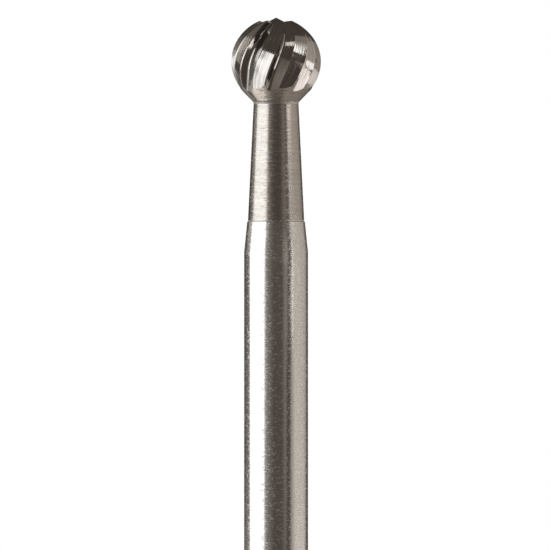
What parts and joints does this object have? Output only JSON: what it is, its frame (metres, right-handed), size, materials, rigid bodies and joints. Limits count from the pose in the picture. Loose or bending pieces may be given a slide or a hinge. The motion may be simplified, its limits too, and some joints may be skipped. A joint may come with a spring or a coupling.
{
  "type": "carbide burr",
  "caption": "Round-head carbide burr with spiral flutes, a slim tapered neck and a straight handpiece shank.",
  "frame": {"origin": "centre of the shank's free end face", "axes": "+Z along the tool's axis from the shank's free end to the cutting tip, +X to the right and +Y away from a viewer in front"},
  "size_m": [0.0032, 0.0032, 0.0445],
  "materials": {
    "carbide": "ground and polished",
    "braze": "ground flush, satin",
    "steel": "fine satin, centreless ground"
  },
  "bodies": {
    "root": {"carbide_head": "carbide", "braze_joint": "braze", "steel_shank": "steel"}
  },
  "joints": []
}
